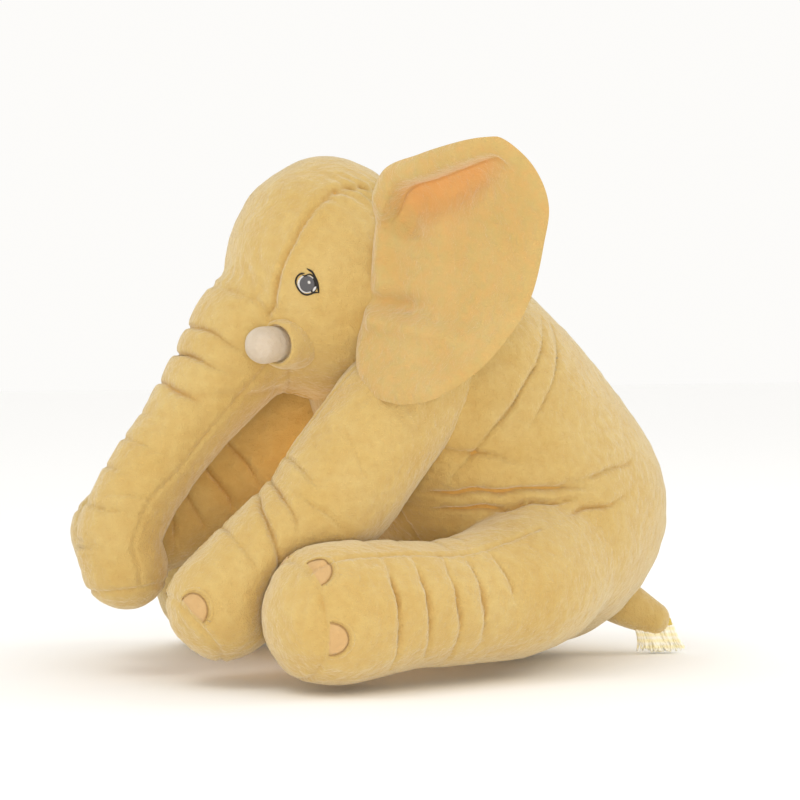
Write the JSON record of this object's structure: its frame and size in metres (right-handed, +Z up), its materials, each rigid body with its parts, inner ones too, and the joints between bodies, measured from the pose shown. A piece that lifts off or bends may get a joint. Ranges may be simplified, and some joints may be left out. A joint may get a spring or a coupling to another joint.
{
  "type": "stuffed elephant",
  "caption": "Large sitting plush elephant with cupped ears, gathered trunk, four soft legs stretched forward and a tasselled tail.",
  "frame": {"origin": "on the ground under the middle of the whole toy's box", "axes": "the elephant looks along -Y, its left side is +X, and +Z is up"},
  "size_m": [0.4632, 0.5178, 0.421],
  "materials": {
    "plush": "matte",
    "ear_lining": "matte",
    "fill": "matte",
    "nail_cloth": "matte",
    "tusk_plush": "matte",
    "eye_thread": "satin",
    "fringe": "satin"
  },
  "bodies": {
    "body": {"belly_panel": "plush", "body_left_panel": "plush", "body_right_panel": "plush", "body_stuffing": "fill"},
    "head": {"head_left_panel": "plush", "head_right_panel": "plush", "head_gusset": "plush", "head_stuffing": "fill", "left_eye": "eye_thread", "right_eye": "eye_thread", "left_tusk": "tusk_plush", "right_tusk": "tusk_plush", "left_tusk_sleeve": "plush", "right_tusk_sleeve": "plush"},
    "trunk": {"trunk_top_panel": "plush", "trunk_under_panel": "plush", "trunk_tip_panel": "plush", "trunk_stuffing": "fill"},
    "left_ear": {"left_ear_front": "ear_lining", "left_ear_wadding": "fill", "left_ear_back": "plush"},
    "right_ear": {"right_ear_front": "ear_lining", "right_ear_wadding": "fill", "right_ear_back": "plush"},
    "left_arm": {"left_arm_outer_panel": "plush", "left_arm_inner_panel": "plush", "left_arm_stuffing": "fill", "left_arm_sole": "plush", "left_arm_toenail_1": "nail_cloth", "left_arm_toenail_2": "nail_cloth", "left_arm_toenail_3": "nail_cloth"},
    "right_arm": {"right_arm_outer_panel": "plush", "right_arm_inner_panel": "plush", "right_arm_stuffing": "fill", "right_arm_sole": "plush", "right_arm_toenail_1": "nail_cloth", "right_arm_toenail_2": "nail_cloth", "right_arm_toenail_3": "nail_cloth"},
    "left_leg": {"left_leg_outer_panel": "plush", "left_leg_inner_panel": "plush", "left_leg_stuffing": "fill", "left_leg_sole": "plush", "left_leg_toenail_1": "nail_cloth", "left_leg_toenail_2": "nail_cloth", "left_leg_toenail_3": "nail_cloth"},
    "right_leg": {"right_leg_outer_panel": "plush", "right_leg_inner_panel": "plush", "right_leg_stuffing": "fill", "right_leg_sole": "plush", "right_leg_toenail_1": "nail_cloth", "right_leg_toenail_2": "nail_cloth", "right_leg_toenail_3": "nail_cloth"},
    "tail": {"tail_cover": "plush", "tail_stuffing": "fill", "tail_tassel": "fringe"}
  },
  "joints": [
    {"name": "head_nod", "type": "hinge", "parent": "body", "child": "head", "pos_m": [0, -0.0079, 0.258], "axis": [-1, 0, 0], "range_deg": [-4, 5], "stiffness_Nm_per_rad": 6},
    {"name": "trunk_lift", "type": "hinge", "parent": "head", "child": "trunk", "pos_m": [0, -0.0999, 0.284], "axis": [-1, 0, 0], "range_deg": [-2, 16], "stiffness_Nm_per_rad": 3},
    {"name": "left_ear_flap", "type": "hinge", "parent": "head", "child": "left_ear", "pos_m": [0.088, -0.0379, 0.316], "axis": [0, 0, -1], "range_deg": [0, 20], "stiffness_Nm_per_rad": 0.6},
    {"name": "right_ear_flap", "type": "hinge", "parent": "head", "child": "right_ear", "pos_m": [-0.088, -0.0379, 0.316], "axis": [0, 0, 1], "range_deg": [0, 20], "stiffness_Nm_per_rad": 0.6},
    {"name": "left_arm_swing", "type": "hinge", "parent": "body", "child": "left_arm", "pos_m": [0.06, 0.0381, 0.226], "axis": [-1, 0, 0], "range_deg": [0, 11], "stiffness_Nm_per_rad": 4},
    {"name": "right_arm_swing", "type": "hinge", "parent": "body", "child": "right_arm", "pos_m": [-0.06, 0.0381, 0.226], "axis": [-1, 0, 0], "range_deg": [-7, 2], "stiffness_Nm_per_rad": 4},
    {"name": "left_leg_splay", "type": "hinge", "parent": "body", "child": "left_leg", "pos_m": [0.07, 0.1201, 0.082], "axis": [0, 0, 1], "range_deg": [0, 15], "stiffness_Nm_per_rad": 2.5},
    {"name": "right_leg_splay", "type": "hinge", "parent": "body", "child": "right_leg", "pos_m": [-0.07, 0.1201, 0.082], "axis": [0, 0, -1], "range_deg": [0, 15], "stiffness_Nm_per_rad": 2.5},
    {"name": "tail_lift", "type": "hinge", "parent": "body", "child": "tail", "pos_m": [0.006, 0.2061, 0.05], "axis": [1, 0, 0], "range_deg": [0, 36], "stiffness_Nm_per_rad": 0.2}
  ]
}
